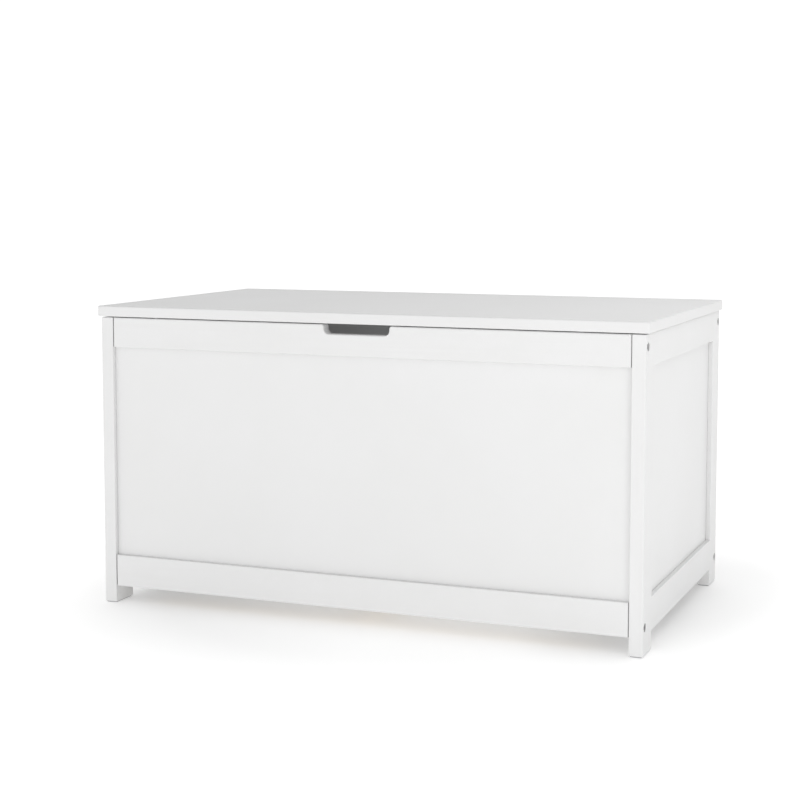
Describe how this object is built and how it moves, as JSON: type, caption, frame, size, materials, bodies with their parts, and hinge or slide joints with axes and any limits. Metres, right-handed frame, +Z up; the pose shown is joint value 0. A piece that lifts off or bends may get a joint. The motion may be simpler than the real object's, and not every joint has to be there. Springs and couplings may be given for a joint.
{
  "type": "wooden toy box",
  "caption": "White painted wooden toy box with framed panels, legs, a finger notch in the front rail and a hinged lid held open by slotted stays.",
  "frame": {"origin": "on the floor, under the centre of the whole object's box, lid shut", "axes": "+X to the right seen from the front, +Y to the rear where the hinges are, +Z up; the front with the finger notch faces -Y"},
  "size_m": [0.854, 0.5024, 0.4576],
  "materials": {
    "painted_rail": "satin white paint on solid wood",
    "painted_panel": "satin white paint on fibreboard",
    "painted_lid": "satin white paint on board",
    "painted_bottom": "matt white paint on fibreboard",
    "batten_wood": "bare sanded pine",
    "dowel_wood": "bare beech",
    "hardware_steel": "bright zinc plate",
    "screw_steel": "bright zinc plate",
    "bolt_steel": "black oxide",
    "washer_nylon": "natural nylon",
    "bumper_rubber": "translucent grey",
    "glide_plastic": "moulded grey"
  },
  "bodies": {
    "box": {"left_front_stile": "painted_rail", "left_rear_stile": "painted_rail", "right_front_stile": "painted_rail", "right_rear_stile": "painted_rail", "left_top_rail": "painted_rail", "left_bottom_rail": "painted_rail", "right_top_rail": "painted_rail", "right_bottom_rail": "painted_rail", "front_top_rail": "painted_rail", "front_bottom_rail": "painted_rail", "rear_top_rail": "painted_rail", "rear_bottom_rail": "painted_rail", "front_panel": "painted_panel", "rear_panel": "painted_panel", "left_panel": "painted_panel", "right_panel": "painted_panel", "bottom_board": "painted_bottom", "front_batten": "batten_wood", "rear_batten": "batten_wood", "centre_bearer": "batten_wood", "rail_dowels": "dowel_wood", "side_frame_dowels": "dowel_wood", "left_hinge_frame_leaf": "hardware_steel", "right_hinge_frame_leaf": "hardware_steel", "left_hinge_pin": "hardware_steel", "right_hinge_pin": "hardware_steel", "left_stay_plate": "hardware_steel", "right_stay_plate": "hardware_steel", "left_stay_stud": "hardware_steel", "right_stay_stud": "hardware_steel", "left_stay_nut": "hardware_steel", "right_stay_nut": "hardware_steel", "barrel_nuts": "hardware_steel", "batten_screws": "screw_steel", "bearer_screws": "screw_steel", "bottom_board_screws": "screw_steel", "frame_leaf_screws": "screw_steel", "stay_plate_screws": "screw_steel", "connector_bolts": "bolt_steel", "left_stay_washer": "washer_nylon", "right_stay_washer": "washer_nylon", "lid_bumpers": "bumper_rubber", "foot_glides": "glide_plastic"},
    "lid": {"lid_board": "painted_lid", "left_hinge_lid_leaf": "hardware_steel", "right_hinge_lid_leaf": "hardware_steel", "lid_leaf_screws": "screw_steel", "left_stay_bracket": "hardware_steel", "right_stay_bracket": "hardware_steel", "stay_bracket_screws": "screw_steel", "left_stay_rivet": "hardware_steel", "right_stay_rivet": "hardware_steel"},
    "right_stay": {"right_stay_arm": "hardware_steel"},
    "left_stay": {"left_stay_arm": "hardware_steel"}
  },
  "joints": [
    {"name": "lid_hinge", "type": "hinge", "parent": "box", "child": "lid", "pos_m": [0, 0.24875, 0.4408], "axis": [-1, 0, 0], "range_deg": [0, 95]},
    {"name": "right_stay_pivot", "type": "hinge", "parent": "lid", "child": "right_stay", "pos_m": [0.395, 0.11897, 0.4332], "axis": [-1, 0, 0], "range_deg": [-47.5, 0]},
    {"name": "left_stay_pivot", "type": "hinge", "parent": "lid", "child": "left_stay", "pos_m": [-0.395, 0.11897, 0.4332], "axis": [-1, 0, 0], "range_deg": [-47.5, 0]}
  ],
  "couplings": [
    {"joint": "right_stay_pivot", "follows": "lid_hinge", "ratio": -0.5},
    {"joint": "left_stay_pivot", "follows": "lid_hinge", "ratio": -0.5}
  ]
}
